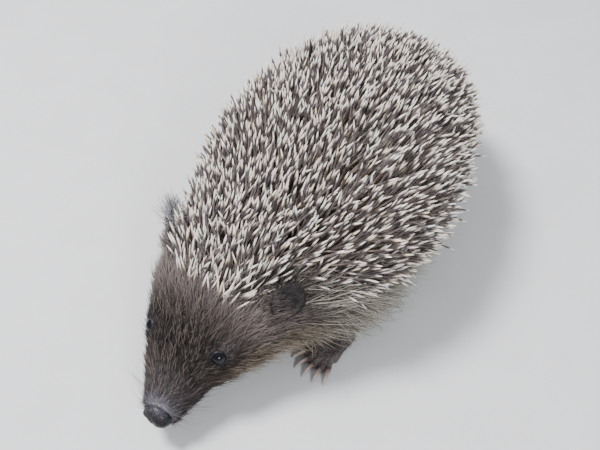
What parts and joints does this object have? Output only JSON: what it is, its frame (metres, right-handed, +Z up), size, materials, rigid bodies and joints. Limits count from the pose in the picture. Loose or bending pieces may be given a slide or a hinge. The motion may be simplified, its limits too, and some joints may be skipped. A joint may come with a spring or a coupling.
{
  "type": "western European hedgehog model",
  "caption": "Life-size still model of a hedgehog standing on all fours, nose lowered, with a domed mantle of spines, furred face and skirt.",
  "frame": {"origin": "on the floor, below the middle of the bounding box", "axes": "+Z up, the animal faces -Y and its left side is towards +X; the body is longest along Y"},
  "size_m": [0.1244, 0.243, 0.094],
  "materials": {
    "fur": "short to coarse brown-grey hair",
    "spines": "banded keratin spines, cream tips over a dark band",
    "skin": "bare brown-grey skin with sparse hair",
    "nose": "wet near-black pebbled skin",
    "eye": "glossy black",
    "ear": "dark grey skin with short hair",
    "claw": "pale horn"
  },
  "bodies": {
    "root": {"head": "fur", "muzzle": "fur", "lower_jaw": "fur", "neck": "fur", "trunk": "fur", "mantle": "spines", "nose": "nose", "eye_left": "eye", "eye_right": "eye", "ear_left": "ear", "ear_right": "ear", "tail": "skin", "leg_front_left": "fur", "paw_front_left": "skin", "claw_front_left_1": "claw", "claw_front_left_2": "claw", "claw_front_left_3": "claw", "claw_front_left_4": "claw", "claw_front_left_5": "claw", "leg_front_right": "fur", "paw_front_right": "skin", "claw_front_right_1": "claw", "claw_front_right_2": "claw", "claw_front_right_3": "claw", "claw_front_right_4": "claw", "claw_front_right_5": "claw", "leg_hind_left": "fur", "paw_hind_left": "skin", "claw_hind_left_1": "claw", "claw_hind_left_2": "claw", "claw_hind_left_3": "claw", "claw_hind_left_4": "claw", "claw_hind_left_5": "claw", "leg_hind_right": "fur", "paw_hind_right": "skin", "claw_hind_right_1": "claw", "claw_hind_right_2": "claw", "claw_hind_right_3": "claw", "claw_hind_right_4": "claw", "claw_hind_right_5": "claw"}
  },
  "joints": []
}
